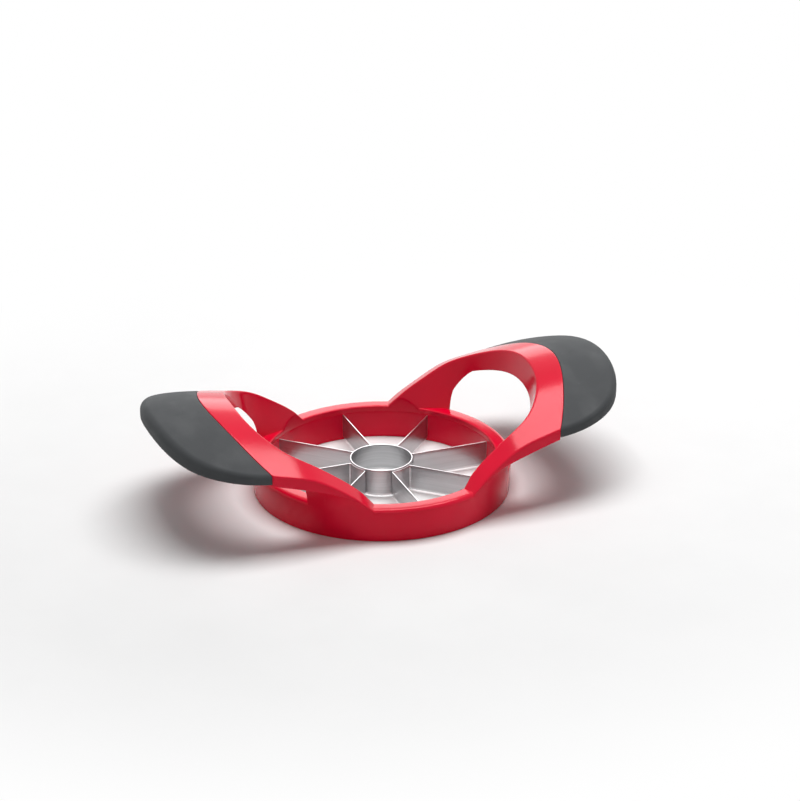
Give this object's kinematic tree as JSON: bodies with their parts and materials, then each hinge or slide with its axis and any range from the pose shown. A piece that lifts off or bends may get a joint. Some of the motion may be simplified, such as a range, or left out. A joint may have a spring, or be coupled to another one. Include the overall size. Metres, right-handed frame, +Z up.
{
  "type": "apple slicer",
  "caption": "Press-down apple slicer: a round plastic blade ring with a steel corer and radial blades, and raised bridge handles that end in soft grips.",
  "frame": {"origin": "centre of the blade ring, on the board it stands on", "axes": "+X through the right handle, +Y away from the viewer, +Z up"},
  "size_m": [0.2094, 0.1134, 0.0512],
  "materials": {
    "frame_plastic": "glossy red moulded plastic",
    "grip_rubber": "matte charcoal soft-touch rubber",
    "blade_steel": "fine brushed stainless steel"
  },
  "bodies": {
    "root": {"frame": "frame_plastic", "left_grip": "grip_rubber", "right_grip": "grip_rubber", "core_ring": "blade_steel", "blade_strip_right_back": "blade_steel", "blade_strip_left_back": "blade_steel", "blade_strip_left_front": "blade_steel", "blade_strip_right_front": "blade_steel"}
  },
  "joints": []
}
